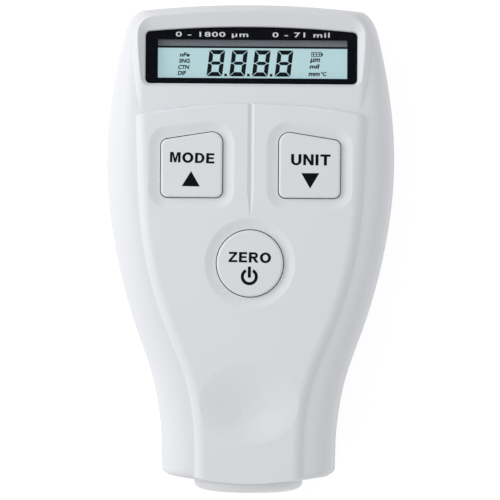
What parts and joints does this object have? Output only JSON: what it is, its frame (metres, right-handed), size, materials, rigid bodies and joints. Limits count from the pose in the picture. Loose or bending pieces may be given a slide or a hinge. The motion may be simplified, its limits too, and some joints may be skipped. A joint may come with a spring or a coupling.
{
  "type": "digital thickness gauge",
  "caption": "Handheld digital coating thickness gauge with a display window, press keys, a sprung measuring tip in a domed collar and a battery cover on the back.",
  "frame": {"origin": "centre of the bounding box in X and Y, on the flat back", "axes": "+Y from the measuring tip towards the display end, +Z out of the key face, X across"},
  "size_m": [0.062, 0.105, 0.0277],
  "materials": {
    "white_shell": "fine satin",
    "key_plastic": "satin",
    "collar_plastic": "satin",
    "clear_window": "clear, gloss",
    "lcd_glass": "clear",
    "polariser": "gloss film",
    "reflector": "satin film",
    "black_foam": "matte foam",
    "holder_plastic": "satin",
    "contact_rubber": "matte",
    "board_green": "solder mask",
    "screw_steel": "plated",
    "chip_black": "moulded",
    "crystal_can": "satin",
    "capacitor_can": "satin",
    "plug_plastic": "natural",
    "contact_metal": "plated spring strip",
    "lead_black": "flexible",
    "lead_red": "flexible",
    "lead_grey": "flexible",
    "barrel_steel": "turned",
    "bobbin_plastic": "moulded",
    "winding_copper": "enamelled wire",
    "probe_core_steel": "polished",
    "spring_steel": "drawn wire",
    "switch_black": "moulded",
    "button_plastic": "moulded",
    "cell_wrap": "printed film",
    "key_print": "ink",
    "window_print": "ink",
    "window_white": "ink",
    "display_print": "liquid crystal segments"
  },
  "bodies": {
    "casing": {"front_housing": "white_shell", "rear_housing": "white_shell", "display_window": "clear_window", "lcd_glass": "lcd_glass", "lcd_polariser": "polariser", "lcd_reflector": "reflector", "display_gasket": "black_foam", "lcd_holder": "holder_plastic", "contact_strip": "contact_rubber", "main_board": "board_green", "housing_screws": "screw_steel", "board_screws": "screw_steel", "microcontroller": "chip_black", "signal_amplifier": "chip_black", "regulator": "chip_black", "crystal": "crystal_can", "capacitor_left": "capacitor_can", "capacitor_right": "capacitor_can", "probe_plug": "plug_plastic", "contact_end_left": "contact_metal", "contact_end_right": "contact_metal", "contact_bridge_low": "contact_metal", "contact_bridge_left": "contact_metal", "contact_bridge_right": "contact_metal", "battery_lead_left": "lead_black", "battery_lead_right": "lead_red", "probe_collar": "collar_plastic", "probe_spring": "spring_steel", "probe_retainer": "bobbin_plastic", "probe_lead": "lead_grey", "mode_switch": "switch_black", "unit_switch": "switch_black", "zero_switch": "switch_black", "cell_1": "cell_wrap", "cell_2": "cell_wrap", "cell_3": "cell_wrap", "cell_4": "cell_wrap"},
    "mode_key_body": {"mode_key": "key_plastic", "mode_switch_button": "button_plastic"},
    "unit_key_body": {"unit_key": "key_plastic", "unit_switch_button": "button_plastic"},
    "zero_key_body": {"zero_key": "key_plastic", "zero_switch_button": "button_plastic"},
    "probe_body": {"probe_barrel": "barrel_steel", "coil_bobbin": "bobbin_plastic", "coil_winding": "winding_copper", "probe_core": "probe_core_steel", "barrel_end_plate": "bobbin_plastic"},
    "cover_body": {"battery_cover": "white_shell"}
  },
  "joints": [
    {"name": "mode_key_press", "type": "slide", "parent": "casing", "child": "mode_key_body", "axis": [0, 0, -1], "range_m": [0, 0.0004], "stiffness_N_per_m": 2500, "springref_m": -0.0004},
    {"name": "unit_key_press", "type": "slide", "parent": "casing", "child": "unit_key_body", "axis": [0, 0, -1], "range_m": [0, 0.0004], "stiffness_N_per_m": 2500, "springref_m": -0.0004},
    {"name": "zero_key_press", "type": "slide", "parent": "casing", "child": "zero_key_body", "axis": [0, 0, -1], "range_m": [0, 0.0004], "stiffness_N_per_m": 2500, "springref_m": -0.0004},
    {"name": "probe_plunge", "type": "slide", "parent": "casing", "child": "probe_body", "axis": [0, 1, 0], "range_m": [0, 0.002], "stiffness_N_per_m": 600, "springref_m": -0.003, "deforming": ["probe_spring"]},
    {"name": "battery_cover_hinge", "type": "hinge", "parent": "casing", "child": "cover_body", "pos_m": [0, 0.0369, 0], "axis": [1, 0, 0], "range_deg": [0, 60]}
  ]
}
